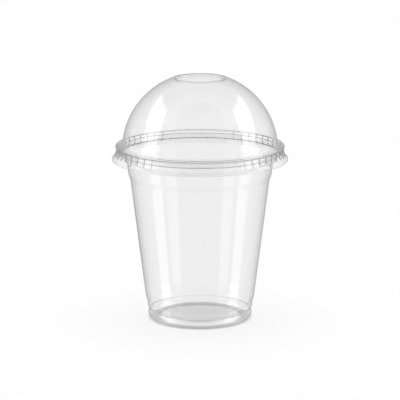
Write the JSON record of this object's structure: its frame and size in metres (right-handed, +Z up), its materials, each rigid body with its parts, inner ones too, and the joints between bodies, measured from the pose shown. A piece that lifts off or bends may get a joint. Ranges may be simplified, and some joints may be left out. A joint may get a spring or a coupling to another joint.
{
  "type": "cold-drink cup with dome lid",
  "caption": "Clear tapered cold-drink cup with a rolled rim and a clear dome lid with a straw hole, fluted skirt and flared brim.",
  "frame": {"origin": "centre of the foot ring, in the plane that the cup stands on", "axes": "+Z up along the cup's axis, towards the lid; round about Z, with the lid's grooves placed evenly from +X"},
  "size_m": [0.1042, 0.1042, 0.1451],
  "materials": {
    "cup_pet": "clear, gloss, formed from extruded PET sheet",
    "lid_pet": "clear, gloss, formed from thinner PET sheet"
  },
  "bodies": {
    "cup": {"cup": "cup_pet"},
    "lid": {"dome_lid": "lid_pet"}
  },
  "joints": [
    {"name": "lid_lift", "type": "slide", "parent": "cup", "child": "lid", "axis": [0, 0, 1], "range_m": [0, 0.06]}
  ]
}
